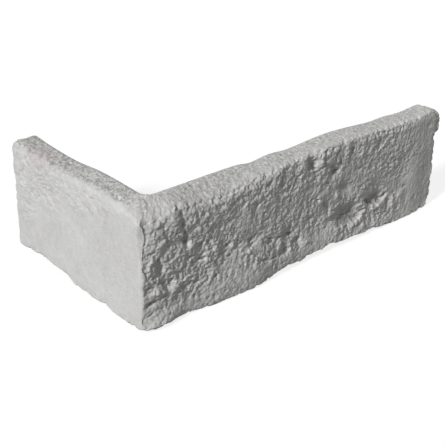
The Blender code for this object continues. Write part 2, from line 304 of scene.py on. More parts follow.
Mark = namedtuple("Mark", "x z length height depth tilt lean_x lean_z", defaults=(0, 0, 0))
HOLLOWS = [Mark(*row) for row in (
    # From the outer corner to the tall fissure
    (0, 5.5, 11, 10, 0.8), (11, 0.4, 20, 4.6, 1.4), (32, 0, 22, 3.8, 1.2), (14.3, 53, 1.3, 7, 0.5),
    (19, 51, 3.4, 1.6, 0.7, -20), (22, 49, 3.6, 1.8, 1.3, -10, 0.2, -0.4),
    (6.6, 42.6, 5.4, 2.2, 1.0, -28), (4.6, 39, 2.4, 3, 0.5), (10.6, 38, 2.8, 2.6, 1.9),
    (10.2, 34, 8, 13, 1.0, 8, 0.7, -0.2), (5.5, 31, 3, 2.4, 0.7), (8.8, 29.4, 2.6, 3.4, 0.8, 20),
    (13.5, 24.8, 6.5, 2.4, 0.9, -25), (18.8, 23.6, 4.4, 2.2, 1.3, 10), (5, 24.3, 7, 1.8, 1.1, -8),
    (12.2, 20.6, 1.8, 1.8, 0.6), (16, 20, 1.6, 3, 0.5), (6, 15.8, 8.5, 3.4, 1.4, 5, 0, -0.4),
    (12.6, 17, 6.5, 1.8, 0.9, 8, 0, -0.3), (15.4, 12.3, 1.4, 3.2, 0.6), (5, 9.4, 4.4, 1.7, 0.6),
    (16.3, 6.8, 2.4, 1.8, 0.6), (18.6, 5.6, 5.2, 1.4, 0.6, -30), (24.3, 6.5, 1.8, 1.6, 0.6),
    # The tall fissure
    (23.8, 62, 3.2, 4.2, 1.0, 12), (25.2, 58.4, 2.2, 4.4, 1.5, -8, 0.3),
    (24.2, 55, 2.8, 3, 1.1, 14), (25.6, 52.2, 2.6, 4, 1.4, -10, 0.3),
    (27.2, 48, 2.2, 4.4, 1.3, 10, 0.3), (26.4, 44.8, 3.2, 2.8, 1.3, -15),
    (28, 42, 3.6, 2.6, 1.9, -28, 0.2, -0.4),
    # The lumps and pits right of it
    (27, 17.4, 6.4, 1.5, 0.9, -12), (32.8, 17.8, 4.4, 1.6, 0.9), (30.5, 33, 5.4, 1.5, 0.9),
    (31, 28.3, 5.4, 1.3, 0.7), (26.9, 30, 1.5, 4.4, 0.8),
    (36.8, 37.6, 3.2, 5.4, 1.0, 30, 0.3, -0.2), (36, 30, 3.8, 2.4, 1.3), (39.2, 29.5, 3, 2.8, 1.4),
    (42.2, 37.4, 3.8, 2.4, 1.2, -10), (44, 33.2, 2.2, 2.6, 1), (39.2, 61, 3, 1.3, 0.6),
    (46, 58.8, 3.2, 2.2, 0.6), (31.5, 58.4, 1.8, 1.5, 0.5), (33.8, 57.6, 1.5, 2, 0.5),
    (35.8, 58.8, 1.7, 1.6, 0.5), (30, 54.8, 1.6, 1.6, 0.6), (29.4, 60, 1.6, 2.4, 0.8),
    (28.6, 51, 1.4, 1.8, 0.7), (34.6, 54.6, 1.6, 2.2, 0.5), (33.5, 50.5, 1.5, 2, 0.4),
    (46, 17, 3.4, 2.6, 1), (35.6, 13.4, 3.6, 3.2, 0.9), (33, 10.2, 2.2, 3.2, 0.8),
    (36.6, 9, 2, 1.6, 0.6), (44.8, 6, 3.4, 1.7, 0.8), (41, 6.6, 1.8, 2.2, 0.5),
    (54.6, 31.2, 4.4, 2.6, 1.4, -10, 0.3, -0.3), (48.3, 38.6, 1.9, 2.2, 0.6),
    (49, 28.4, 2.2, 4.4, 1, 20), (47.8, 34, 1.4, 3.4, 0.6, 35), (50.3, 34.3, 1.4, 3.4, 0.6, 35),
    (56, 25, 3.4, 1.5, 1), (53.5, 23.3, 2, 1.4, 0.6), (62.5, 28.9, 5, 2, 0.9, 20),
    (58.4, 13.6, 1.4, 4, 0.7), (58.6, 10.8, 1.4, 1.4, 0.5), (61.6, 44.8, 2.4, 1.5, 0.4),
    (49.6, 8.2, 2.2, 2.2, 0.5), (66.9, 8, 1.6, 2, 0.4), (69, 18.3, 1.7, 1.7, 0.6),
    # The middle of the face, over the belly
    (74.4, 47, 3.4, 7, 0.9, 6, 0.3), (74.8, 40.6, 2.6, 4, 0.6, -8), (80, 41.4, 2.3, 2.6, 1),
    (82.4, 37, 4.4, 1.3, 0.8, 5), (79.7, 36.5, 1.6, 1.4, 0.5), (82.8, 57, 3.8, 1.8, 1.3),
    (73.8, 62, 4.4, 3.2, 0.9, 40), (70.9, 28.5, 4, 3.4, 1.2, 40), (72.8, 26, 5, 1.5, 1.1, 2),
    (73.5, 19, 6.4, 1.3, 0.8), (79.8, 14.4, 7.6, 1.7, 1.5, -8), (75.4, 14, 1.8, 1.6, 0.6),
    (87, 12.9, 7, 1.4, 1.3, -4), (93.5, 12.2, 5, 1.8, 1), (82, 23.8, 3.8, 1.6, 1.2, -10),
    (85, 25, 4.6, 1.7, 1.5, -10), (85.6, 22.2, 6, 1.4, 1.3, -6), (88, 19.6, 2.6, 4.8, 1.1, 15),
    (89, 6.4, 2, 4.4, 0.8, 30), (92.9, 57, 2.3, 3.2, 0.9), (93.8, 53, 3.6, 1.8, 0.9),
    (98.2, 48.6, 2, 1.5, 0.7), (99, 51.2, 3.4, 2.2, 0.7, -20), (99.2, 42.4, 2.8, 2.2, 1.4, -20),
    (99.6, 44.3, 2.2, 1.4, 0.6), (97.5, 45.7, 3.8, 1.5, 0.6), (106, 61.1, 6.4, 1.5, 0.8, 4),
    (97, 61.8, 3.8, 2.4, 0.8), (105.5, 55.8, 5.4, 1.5, 0.8, 5), (111.3, 53, 3.8, 1.5, 0.9),
    (112.6, 49.2, 2.6, 1.3, 0.6), (119.4, 49.2, 1.8, 2.6, 0.7), (93, 23.2, 8.5, 1.8, 1.6, -4),
    (100.4, 22, 8, 2, 1.6, -5), (100, 26.6, 5.4, 4.4, 0.6, -20, 0.3, -0.3),
    (95.2, 18, 2.2, 3.2, 0.8), (97, 13.6, 5, 4.8, 1.4, 15), (104, 17.2, 2.4, 2.2, 0.8),
    (107, 17, 6, 4.4, 1, -30, 0.4, -0.3), (108.2, 12.8, 5.4, 1.7, 0.9, -55),
    (107, 10.3, 2.6, 1.6, 0.7), (118.8, 10.2, 3.4, 1.8, 0.8, -20),
    # The deep pit under the upper arris, and what lies right of it
    (114.2, 59.8, 10, 8, 1.3, -20, 0.6, -0.3), (117, 56, 4.4, 2.2, 1.8, -10, 0.2, -0.3),
    (112, 58, 4.4, 1.4, 0.7, -20), (125, 63.3, 3, 4.4, 1.2, -25), (121, 62.6, 1.8, 2, 0.7),
    (131.5, 64, 4.4, 2.2, 1.1), (134, 49.8, 8, 2.6, 1.9, 2, 0.2, -0.4),
    (131.5, 52.6, 6, 2.4, 0.9, -25), (138, 54.4, 2.6, 3, 1.6), (129, 43.8, 5.4, 2, 0.9, -25),
    (116.8, 37.5, 3.4, 1.9, 1.2), (121.7, 36, 3.6, 1.6, 1.2, -20), (114, 38.7, 2.2, 2.2, 0.8),
    (114.3, 31.2, 1.8, 2.8, 0.8), (116.3, 34.1, 2.8, 1.7, 0.8), (116.5, 25.8, 5, 1.5, 0.9, 3),
    (119.1, 26.7, 2.6, 1.4, 0.8, 40), (121.6, 26.2, 1.8, 1.4, 0.6), (119, 23, 2, 1.6, 0.6),
    (122.3, 23, 3.4, 2, 0.8, -30), (127.6, 31.4, 3, 7, 1.2, 28, 0.3, -0.5),
    (131.3, 33, 2.6, 3.2, 1), (133.2, 56.6, 2.4, 2.4, 0.8, -30), (137, 61, 1.3, 3.4, 0.6),
    (147, 59.8, 4.6, 3, 1.4, 10, 0, -0.3), (155.3, 46, 3.8, 1.7, 1.1, -15),
    (158.8, 62, 3.4, 2.6, 0.9), (160.5, 56.6, 1.6, 2.4, 0.5), (169, 63.2, 3.4, 2.8, 1.1),
    (174, 63, 5.4, 2.2, 1.1), (170.6, 56.5, 6.5, 1.5, 1, -28), (169.4, 54.2, 5, 2.2, 0.7, 20),
    (166.5, 47.4, 6.4, 1.5, 0.7, -10),
    # The two wide hollows and the ledge below them
    (146, 20, 27, 13.4, 1.3, -6, 0.72, -0.55), (148, 16.2, 23, 8.8, 3.0, -3, 0.74, -0.5),
    (152.4, 26.8, 3, 3.4, 1.0, 20), (140.6, 20.4, 5, 2.2, 0.9, -14), (146, 16, 5, 1.8, 2.2, -6),
    (151.6, 19.4, 3.4, 3.4, 1.5, 20), (147.2, 21.8, 3, 1.8, 0.8),
    (153.6, 15.2, 4.4, 2.8, 2.4, -6, 0.3, 0), (146.4, 28, 2.4, 1.6, 0.6), (147.8, 31.6, 2, 2, 0.5),
    (143.5, 37.4, 14, 5.4, 0.8, -25, 0.3, -0.4), (131, 28, 3, 8, 1.0, 20, 0.4, -0.4),
    (135.4, 24.6, 5, 1.6, 0.8, -20), (139, 17.6, 6, 1.5, 0.7, -8), (139.5, 35.6, 3, 1.3, 0.5, -20),
    (147, 11.7, 5.4, 1.5, 1, 2), (142, 12.4, 1.6, 3.2, 0.7), (160, 17.6, 6, 1.8, 2.1, 4, 0, -0.3),
    (165.8, 21.2, 8, 3.6, 2.9, -32, 0, -0.5), (170.8, 19.2, 9, 3.8, 3.4, -12, 0, -0.55),
    (176.2, 19.2, 8.6, 3.8, 3.4, 12, 0, -0.55), (180.4, 21.2, 5.4, 3.2, 2.8, 40, 0, -0.5),
    (171, 22.4, 19, 9, 1.8, -4, 0.3, -0.6), (157.3, 33.4, 3.2, 2.2, 0.8), (163, 8.6, 2.8, 1.5, 0.6),
    (169, 14.4, 2, 1.8, 0.6), (177.8, 8.8, 4.6, 2.2, 0.8), (175.6, 6.6, 2.6, 1.4, 0.6),
    (183.2, 15.8, 6.4, 6.2, 0.6, 0, 0.4, -0.1), (188.2, 20.9, 2.8, 1.7, 1, -30),
    (189.6, 18.2, 2, 2.2, 0.9), (198, 22.1, 3.8, 1.6, 1.1, -20), (181.3, 11.9, 3.4, 1.5, 0.8),
    (193, 8.9, 5, 1.6, 0.9, -5), (193.3, 6.7, 3, 1.3, 0.6), (197.6, 7, 3.4, 1.4, 0.6, -25),
    # Towards the smooth end
    (182, 52, 3.4, 1.7, 0.8, -10), (180.8, 57, 1.8, 3.2, 0.8), (180.8, 48.2, 2, 3.2, 0.8),
    (186, 42.3, 4.4, 1.6, 0.7, -15), (182.5, 37.8, 2.8, 1.8, 0.7, -30), (208.7, 12, 3.4, 2.6, 0.7),
    (216, 57, 4.4, 4.4, 0.4), (211.8, 63.2, 3.4, 1.4, 0.5), (196.2, 62.4, 1.4, 2.8, 0.7),
    (198.2, 62.4, 1.4, 2.8, 0.7), (190.8, 61.8, 2.2, 2.8, 0.8), (187.6, 61.6, 1.6, 3.6, 0.6),
    (181.3, 62.4, 2.6, 2.6, 0.8), (177.4, 62.8, 2, 2, 0.7),
)]
LUMPS = [Mark(*row) for row in (
    (20, 56, 8, 12, 0.25, 0, -0.2, 0.2), (13.5, 46.5, 4.4, 4.4, 0.5, 0, -0.2, 0.2),
    (9.5, 20.2, 11, 7, 0.8, 0, -0.3, 0.3), (19.5, 19.6, 5, 4, 0.3, 0, -0.2, 0.3),
    (26, 21.6, 10, 3.4, 0.6, 20, 0, 0.3), (31.4, 39.6, 4.8, 5, 0.5, 0, -0.2, 0.4),
    (29, 14.4, 6, 2, 0.4), (42, 28, 3, 3.6, 0.7), (58.6, 30, 3.6, 5, 0.7), (54.4, 26.4, 3, 3, 0.6),
    (70.6, 23.6, 6.5, 2.4, 0.6, 25), (77.4, 36, 2, 5, 0.4, 4), (80.4, 42.4, 3, 2, 0.4),
    (92.6, 19.6, 4.4, 3.4, 0.7), (100.6, 17.6, 2.2, 4.4, 0.5, -25), (100.6, 13.4, 2, 3.4, 0.5),
    (87.4, 7.4, 3, 3, 0.5), (121.6, 58, 3, 5, 0.7, -30), (139.4, 50.4, 3.4, 4.4, 0.7, -30),
    (102, 42, 2.4, 2, 0.5), (124, 34.2, 4, 1.8, 0.5, -30), (136.6, 34.6, 2.4, 4, 0.8),
    (143.4, 31.6, 2.4, 3.4, 0.7), (138.4, 12.4, 5, 5, 0.5), (113.4, 12.6, 5, 2.6, 0.6),
    (158.6, 21.6, 7, 2.4, 0.9, 8), (173, 15.4, 14, 2.4, 0.8, -2), (164, 15.8, 5, 2.4, 0.7),
    (155, 2, 130, 32, 0.7), (12, 2.4, 27, 17, 2.2, 0, -0.25, -0.2), (187.4, 16.4, 1.8, 6.4, 0.6),
    (193, 17, 3.4, 3, 0.5), (197, 20, 3.4, 1.8, 0.5), (160.6, 33, 1.8, 3.6, 0.5),
    (148.9, 58.8, 2, 2.4, 0.5), (171.6, 53.6, 6, 1.8, 0.5, 28), (182.2, 46.4, 1.8, 2.6, 0.4),
    (197, 33.2, 2.6, 2.2, 0.3), (212.5, 32, 3.4, 2.4, 0.3), (130.2, 13, 2.4, 2, 0.4),
    (117, 29.4, 2, 2, 0.4), (152.6, 44, 4, 2, 0.4, -20),
)]
BOWL, AT_DEEPEST = 1.6, 1e-6
WANDER, WANDER_LENGTH = 0.55, 2.6
FRAY, FRAY_LENGTH = 0.30, 1.0
MARK_REACH = 0.006
# The wander of the marks' rims is drawn from this seed
WANDER_SEED = 1796075244
noise.seed_set(WANDER_SEED)


def smooth(share):
    share = np.clip(share, 0.0, 1.0)
    return share * share * (3.0 - 2.0 * share)


def pressed_in(mark, x, z):
    """How deep a mark is at these points, from nothing at its rim to its deepest spot."""
    depth = np.zeros_like(x)
    near = np.flatnonzero(np.hypot(x - mark.x, z - mark.z) < max(mark.length, mark.height) / 2.0)
    turn = math.radians(mark.tilt)
    right, rise = x[near] - mark.x, z[near] - mark.z
    across = (right * math.cos(turn) + rise * math.sin(turn)) / (mark.length / 2.0)
    upward = (rise * math.cos(turn) - right * math.sin(turn)) / (mark.height / 2.0)
    inside = across ** 2 + upward ** 2 < 1.0
    way = np.stack([across[inside] - mark.lean_x, upward[inside] - mark.lean_z])
    length = np.maximum((way ** 2).sum(axis=0), AT_DEEPEST)
    beside = way[0] * mark.lean_x + way[1] * mark.lean_z
    spare = 1.0 - mark.lean_x ** 2 - mark.lean_z ** 2
    times = (np.sqrt(beside ** 2 + length * spare) - beside) / length
    depth[near[inside]] = mark.depth * (1.0 - times ** -BOWL)
    return depth


face_x = (all_points[:, 0] - corner.x) * 1000.0
face_z = all_points[:, 2] * 1000.0
stray = np.array([
    (noise.noise_vector(spot / WANDER_LENGTH) * WANDER + noise.noise_vector(spot / FRAY_LENGTH) * FRAY)[:]
    for spot in (Vector((x, 0.0, z)) for x, z in zip(face_x, face_z))
])
marked_x, marked_z = face_x + stray[:, 0], face_z + stray[:, 2]
hollow = np.max([pressed_in(mark, marked_x, marked_z) for mark in HOLLOWS], axis=0)
lump = np.max([pressed_in(mark, marked_x, marked_z) for mark in LUMPS], axis=0)
on_face = (all_place > 0.0) * (1.0 - smooth(all_depth * WALL / MARK_REACH))
all_points[:, 1] += (hollow - lump) * on_face / 1000.0

# Small pits in the upper bed and in the header face, where the paste did not fill the mould
Pit = namedtuple("Pit", "x y z size depth")
PITS = [Pit(*row) for row in (
    (4.5, 23.5, 64, 3.4, 0.9), (4.6, 27.6, 64, 2.6, 0.7), (10.6, 26.6, 65, 3.6, 0.8),
    (4.5, 79.2, 64.5, 3.0, 0.9), (11, 89.5, 65, 3.4, 0.8), (2.2, 102.6, 64.5, 3.0, 0.8),
    (9, 105, 65.5, 3.2, 0.8), (9, 72, 65, 2.6, 0.6), (7, 57, 65.5, 3.0, 0.5),
    (0, 103, 31.5, 3.4, 0.6), (0, 101, 28, 2.2, 0.4), (0, 93.5, 50, 3.0, 0.5),
    (0, 72, 50, 2.6, 0.4), (0, 55, 48, 2.6, 0.4), (0, 60, 53, 2.4, 0.4), (0, 28, 35, 1.8, 0.3),
    (0, 37, 35, 2.2, 0.3), (0, 61, 30, 2.0, 0.3), (0, 83, 53, 2.4, 0.4), (40.5, 12, 65, 3.4, 0.9),
    (46.6, 6, 64, 2.6, 0.8), (50, 13, 65, 2.6, 0.6), (33, 8, 63.5, 2.2, 0.5),
    (61, 11, 65.5, 2.6, 0.5), (72, 3, 64.5, 2.4, 0.6), (88, 6, 65.5, 2.6, 0.6),
    (97, 4, 66, 2.6, 0.8), (104, 10, 66, 2.2, 0.5), (132, 8, 66.5, 2.6, 0.6),
    (158, 5, 66.5, 2.4, 0.6), (181, 9, 66, 2.2, 0.5), (196, 6, 65.5, 2.4, 0.5),
)]
all_slopes = np.concatenate([slopes, np.zeros_like(back_points)])
from_corner = (all_points - np.array(corner)) * 1000.0
pit_depth = np.zeros(len(all_points))
for pit in PITS:
    out = np.linalg.norm(from_corner - np.array(pit[:3]), axis=1) / (pit.size / 2.0)
    bowl = np.where(out < 1.0, pit.depth * (1.0 - np.minimum(out, 1.0) ** 2), 0.0)
    pit_depth = np.maximum(pit_depth, bowl)
all_points -= all_slopes * pit_depth[:, None] / 1000.0

# How rough the cast skin is, zone by zone, in millimetres from the outer corner. The stretcher face
# is rough but for its smooth end, and the header face is rough only high up and towards its end.
Zone = namedtuple("Zone", "along z length height rough")
STRETCHER_ZONES = [Zone(*row) for row in (
    (28, 36, 110, 76, 1.0), (95, 56, 190, 30, 0.9), (90, 22, 110, 34, 0.8), (150, 58, 130, 26, 0.8),
    (165, 12, 90, 22, 1.0), (60, 8, 130, 26, 0.45), (175, 40, 90, 44, 0.6), (112, 34, 150, 62, 0.6),
    (148, 20, 56, 30, 0.9), (8, 8, 30, 24, 0.5),
)]
HEADER_ZONES = [Zone(*row) for row in (
    (92, 54, 70, 46, 1.25), (52, 58, 64, 26, 1.0), (104, 28, 26, 22, 0.9), (55, 69, 150, 18, 0.9),
)]
ZONE_EDGE = 1.6
END_ROUGH, HEADER_ROUGH = 0.12, 0.07
STRETCHER_BED_ROUGH, HEADER_BED_ROUGH = 0.4, 0.6


def zoned(zones, along, least):
    """The roughness at every point, the most that any of these zones gives it."""
    here = np.full_like(along, least)
    for zone in zones:
        out = np.hypot((along - zone.along) / (zone.length / 2.0), (face_z - zone.z) / (zone.height / 2.0))
        here = np.maximum(here, least + (zone.rough - least) * smooth(ZONE_EDGE * (1.0 - out)))
    return here


# Which leg each point lies on, and whether on a face or on a bed
LEG_FROM, LEG_BLEND = -0.001, 0.003
BED_FROM, BED_FADE = 0.0015, 0.004
into_stretcher = smooth((all_place - LEG_FROM) / LEG_BLEND)
stretcher_rough = zoned(STRETCHER_ZONES, face_x, END_ROUGH)
header_rough = zoned(HEADER_ZONES, (all_points[:, 1] - corner.y) * 1000.0, HEADER_ROUGH)
rough = header_rough + (stretcher_rough - header_rough) * into_stretcher
bed = smooth((all_depth * WALL - BED_FROM) / BED_FADE)
# Far from the corner, the header bed's open grain reaches over the worn arris, with a ragged edge;
# its darker bed tone there is partly painted shade over the arris. It is weaker on the stretcher's
# bed and at the corner.
WORN_NEAR, WORN_FAR, WORN_START, WORN_GROW = -0.001, 0.0045, 0.045, 0.035
WORN_FADE, RAGGED_EDGE = 0.006, 0.004
STRETCHER_CLOSED = 0.40
CORNER_CLOSED, CORNER_REACH, CORNER_FADE = 0.65, 0.006, 0.020
past_arris = all_depth * WALL - (HEIGHT - all_up) + RAGGED_EDGE * stray[:, 1]
worn_reach = WORN_NEAR + (WORN_FAR - WORN_NEAR) * smooth((-all_place - WORN_START) / WORN_GROW)
grain_and_shade_over_arris = smooth((past_arris + worn_reach) / WORN_FADE)
grain_and_shade_over_arris = grain_and_shade_over_arris * (1.0 - into_stretcher)
open_grain = np.maximum(grain_and_shade_over_arris, bed * (1.0 - STRETCHER_CLOSED * into_stretcher))
by_corner = 1.0 - smooth((np.abs(all_place) - CORNER_REACH) / CORNER_FADE)
open_grain = open_grain * (1.0 - CORNER_CLOSED * by_corner)
bed = np.maximum(bed, grain_and_shade_over_arris)
bed_rough = HEADER_BED_ROUGH + (STRETCHER_BED_ROUGH - HEADER_BED_ROUGH) * into_stretcher
rough = rough + (bed_rough - rough) * bed
# Along its back rim the bed was trowelled smooth with the back
BACK_RIM_REACH, BACK_RIM_GRAIN = 0.0028, 0.35
to_back_rim = smooth((1.0 - all_depth) * WALL / BACK_RIM_REACH)
rough = rough * to_back_rim
struck = np.concatenate([np.zeros(len(points)), np.ones(len(back_points))])
struck[rim_numbers] = 1.0
DRAG_SHARE = 0.6
drag = into_stretcher * (1.0 - bed) * DRAG_SHARE
HEADER_GRAIN, FACE_GRAIN, GRAIN_BY_ROUGH = 0.40, 1.1, 0.45
HEADER_BED_GRAIN, STRETCHER_BED_GRAIN = 1.8, 1.35
header_grain = HEADER_GRAIN + header_rough
face_grain = FACE_GRAIN * (1.0 - GRAIN_BY_ROUGH + GRAIN_BY_ROUGH * stretcher_rough)
graininess = header_grain + (face_grain - header_grain) * into_stretcher
bed_grain = HEADER_BED_GRAIN + (STRETCHER_BED_GRAIN - HEADER_BED_GRAIN) * into_stretcher
graininess = graininess + (bed_grain - graininess) * bed
graininess = graininess * (BACK_RIM_GRAIN + (1.0 - BACK_RIM_GRAIN) * to_back_rim)

# Where the worn arrises are chipped: round the rim of the stretcher face, and less on the header
CHIP_REACH, HEADER_CHIPS = 0.0045, 0.6
to_rims = (all_up, HEIGHT - all_up, STRETCHER - all_place, all_place + HEADER)
from_rim = np.min(to_rims, axis=0)
edge = 1.0 - smooth(np.hypot(all_depth * WALL, from_rim) / CHIP_REACH)
edge = edge * (HEADER_CHIPS + (1.0 - HEADER_CHIPS) * into_stretcher)
# Past the corner's bulge the foot isn't worn back, and flares out a little
ARRIS_WEAR, FOOT_FLARE, FLARE_HEIGHT, FLARE_START = 0.0006, 0.0004, 0.006, 0.020
flaring = smooth((all_place - FLARE_START) / FLARE_START)
worn = edge * into_stretcher * np.maximum(all_up > HEIGHT / 2.0, 1.0 - flaring)
all_points -= all_slopes * (ARRIS_WEAR * worn)[:, None]
all_points[:, 1] -= FOOT_FLARE * flaring * (1.0 - smooth(all_up / FLARE_HEIGHT)) * on_face
# Towards the outer corner the face leans back under its upper arris
LEAN, LEAN_FROM, LEAN_HEIGHT, LEAN_LENGTH, LEAN_FADE = 0.0007, 0.045, 0.020, 0.095, 0.020
leaning = smooth((all_points[:, 2] - LEAN_FROM) / LEAN_HEIGHT)
leaning = leaning * (1.0 - smooth((all_place - LEAN_LENGTH) / LEAN_FADE))
all_points[:, 1] += LEAN * leaning * on_face
# Its far half is dished a little between the foot and the upper arris
DISH, DISH_START, DISH_END, DISH_FADE, DISH_LOW, DISH_HIGH = 0.0010, 0.080, 0.215, 0.03, 0.022, 0.036
dished = smooth(all_up / DISH_LOW) * smooth((HEIGHT - all_up) / DISH_HIGH)
from_dish_ends = np.stack([all_place - DISH_START, DISH_END - all_place])
dished = dished * smooth(from_dish_ends / DISH_FADE).prod(axis=0)
all_points[:, 1] += DISH * dished * on_face

# The lump at the stretcher's upper end breaks off sharply at its foot
BREAK_DEPTH, BREAK_FROM, BREAK_LOW, BREAK_HIGH = 0.0020, 0.216, 0.044, 0.0494
FADE_ALONG, FADE_LOW, FADE_HIGH = 0.008, 0.003, 0.0009
above_corner = all_points - np.array(corner)
breaking = smooth((above_corner[:, 0] - BREAK_FROM) / FADE_ALONG)
breaking = breaking * smooth((all_points[:, 2] - BREAK_LOW) / FADE_LOW)
breaking = breaking * (1.0 - smooth((all_points[:, 2] - BREAK_HIGH) / FADE_HIGH))
all_points[:, 0] -= BREAK_DEPTH * breaking


# The cast skin: the paste copies the old brick's gritty skin, coarse on the stretcher face and
# fine on the header face, and its own sand shows on the beds. A node tree moves the lattice's
# points along their slopes, by as much as the skin is rough at each of them.


def add(tree, kind, sockets=(), **settings):
    """A new node with its settings and its inputs: a socket is linked, and a value is set."""
    made = tree.nodes.new(kind)
    for setting, value in settings.items():
        setattr(made, setting, value)
    for socket, value in dict(sockets).items():
        if isinstance(value, bpy.types.NodeSocket):
            tree.links.new(value, made.inputs[socket])
        else:
            made.inputs[socket].default_value = value
    return made


def maths(tree, operation, first, second=0.0, third=0.0):
    return add(tree, "ShaderNodeMath", {0: first, 1: second, 2: third}, operation=operation).outputs[0]


def vector_maths(tree, operation, first, second):
    return add(tree, "ShaderNodeVectorMath", {0: first, 1: second}, operation=operation).outputs[0]


def scaled(tree, vector, factor):
    made = add(tree, "ShaderNodeVectorMath", {0: vector, "Scale": factor}, operation="SCALE")
    return made.outputs[0]


def noise_of(tree, vector, length, detail, raggedness=0.5):
    """Noise of this length, from 0 to 1."""
    scale = maths(tree, "DIVIDE", 1.0, length) if isinstance(length, bpy.types.NodeSocket) else 1.0 / length
    return add(tree, "ShaderNodeTexNoise", {
        "Vector": vector, "Scale": scale, "Detail": detail, "Roughness": raggedness,
    }).outputs[0]


def spread(tree, value, low_in, high_in, low_out=0.0, high_out=1.0):
    """The value, eased from one range to another and held at its ends."""
    return add(tree, "ShaderNodeMapRange", {
        "Value": value, "From Min": low_in, "From Max": high_in, "To Min": low_out, "To Max": high_out,
    }, interpolation_type="SMOOTHSTEP").outputs[0]


relief = bpy.data.node_groups.new("cast relief", "GeometryNodeTree")
RELIEF_SIZES = {
    "Unevenness": 0.00045, "Unevenness Length": 0.009,
    "Flake Height": 0.00046, "Flake Length": 0.0075,
    "Small Flake Height": 0.00042, "Small Flake Length": 0.0034,
    "Crumb Height": 0.00038, "Crumb Length": 0.0016,
    "Stray": 0.0008, "Stray Length": 0.0018,
    "Pit Depth": 0.0009, "Pit Length": 0.0019, "Pit Share": 0.36,
    "Drag Height": 0.00030, "Drag Width": 0.0012, "Drag Stretch": 6.0,
    "Chip Depth": 0.0011, "Chip Length": 0.0034,
    "Grain Height": 0.00055, "Grain Length": 0.0009,
}
RELIEF_INPUTS = [("Geometry", "Geometry")] + [(label, "Float") for label in RELIEF_SIZES]
RELIEF_INPUTS += [("Seed", "Int"), ("Cast Face", "Material"), ("Struck Back", "Material")]
for label, kind in RELIEF_INPUTS:
    relief.interface.new_socket(label, in_out="INPUT", socket_type="NodeSocket" + kind)
relief.interface.new_socket("Geometry", in_out="OUTPUT", socket_type="NodeSocketGeometry")
given = relief.nodes.new("NodeGroupInput").outputs


def attribute(name):
    made = add(relief, "GeometryNodeInputNamedAttribute", {"Name": name}, data_type="FLOAT")
    return made.outputs["Attribute"]


SEED_STEP = 0.731
rough_here, grain_here, struck_here, edge_here, drag_here = (
    attribute(name) for name in ("rough", "grain", "struck", "edge", "drag")
)
seed_shift = maths(relief, "MULTIPLY", given["Seed"], SEED_STEP)
seed_way = add(relief, "ShaderNodeCombineXYZ", {0: seed_shift, 2: seed_shift}).outputs[0]
position = relief.nodes.new("GeometryNodeInputPosition").outputs[0]
place_here = vector_maths(relief, "ADD", position, seed_way)


def swing(noise_here, height):
    """The noise as a height that swings both ways."""
    both_ways = maths(relief, "MULTIPLY_ADD", noise_here, 2.0, -1.0)
    return maths(relief, "MULTIPLY", both_ways, height)


FLAKE_RAGGEDNESS, FLAKE_STEP = 0.62, (0.475, 0.525)
CRUMB_MIDDLE, CRUMB_STEEPNESS = 0.26, 1.8


def flakes(length, height):
    """Flat ground on two levels with ragged steps between them, where the old skin had flaked off."""
    raised = spread(relief, noise_of(relief, place_here, length, 4.0, FLAKE_RAGGEDNESS), *FLAKE_STEP)
    return maths(relief, "MULTIPLY", maths(relief, "SUBTRACT", raised, 0.5), height)


def crumbs(length, height):
    """Round lumps side by side with sharp creases between them, swinging both ways."""
    away = add(relief, "ShaderNodeTexVoronoi", {
        "Vector": strayed, "Scale": maths(relief, "DIVIDE", 1.0, length), "Detail": 0.0,
    }, feature="F1").outputs["Distance"]
    domed = maths(relief, "SUBTRACT", CRUMB_MIDDLE, maths(relief, "MULTIPLY", away, away))
    return maths(relief, "MULTIPLY", domed, maths(relief, "MULTIPLY", height, CRUMB_STEEPNESS))


stray_noise = add(relief, "ShaderNodeTexNoise", {
    "Vector": place_here, "Scale": maths(relief, "DIVIDE", 1.0, given["Stray Length"]), "Detail": 1.0,
}).outputs["Color"]
stray_way = vector_maths(relief, "SUBTRACT", stray_noise, (0.5, 0.5, 0.5))
stray_way = scaled(relief, stray_way, maths(relief, "MULTIPLY", given["Stray"], 2.0))
strayed = vector_maths(relief, "ADD", place_here, stray_way)
flattened = maths(relief, "DIVIDE", 1.0, given["Drag Stretch"])
drag_scale = add(relief, "ShaderNodeCombineXYZ", {0: 1.0, 1: 1.0, 2: flattened}).outputs[0]
drag_places = vector_maths(relief, "MULTIPLY", place_here, drag_scale)
uneven = swing(noise_of(relief, place_here, given["Unevenness Length"], 1.0), given["Unevenness"])
lumps = maths(relief, "ADD", flakes(given["Flake Length"], given["Flake Height"]),
              flakes(given["Small Flake Length"], given["Small Flake Height"]))
lumps = maths(relief, "ADD", lumps, crumbs(given["Crumb Length"], given["Crumb Height"]))
CHIP_STEP, PIT_WALL, STRUCK_FROM = (0.48, 0.60), 0.12, 0.9
chipped = spread(relief, noise_of(relief, place_here, given["Chip Length"], 3.0), *CHIP_STEP)
chips = maths(relief, "MULTIPLY", maths(relief, "MULTIPLY", chipped, given["Chip Depth"]), edge_here)
dragged = swing(noise_of(relief, drag_places, given["Drag Width"], 1.0), given["Drag Height"])
grain = swing(noise_of(relief, place_here, given["Grain Length"], 2.0), given["Grain Height"])
pit_from = maths(relief, "SUBTRACT", 1.0, given["Pit Share"])
pit_to = maths(relief, "ADD", pit_from, PIT_WALL)
pit_floor = spread(relief, noise_of(relief, place_here, given["Pit Length"], 2.0), pit_from, pit_to)
pits = maths(relief, "MULTIPLY", pit_floor, given["Pit Depth"])
coarse = maths(relief, "SUBTRACT", maths(relief, "ADD", lumps, uneven), pits)
coarse = maths(relief, "MULTIPLY", coarse, rough_here)
dragged = maths(relief, "MULTIPLY", dragged, drag_here)
fine = maths(relief, "MULTIPLY", grain, grain_here)
height_here = maths(relief, "ADD", coarse, fine)
height_here = maths(relief, "ADD", height_here, maths(relief, "SUBTRACT", dragged, chips))
height_here = maths(relief, "MULTIPLY", height_here, maths(relief, "SUBTRACT", 1.0, struck_here))
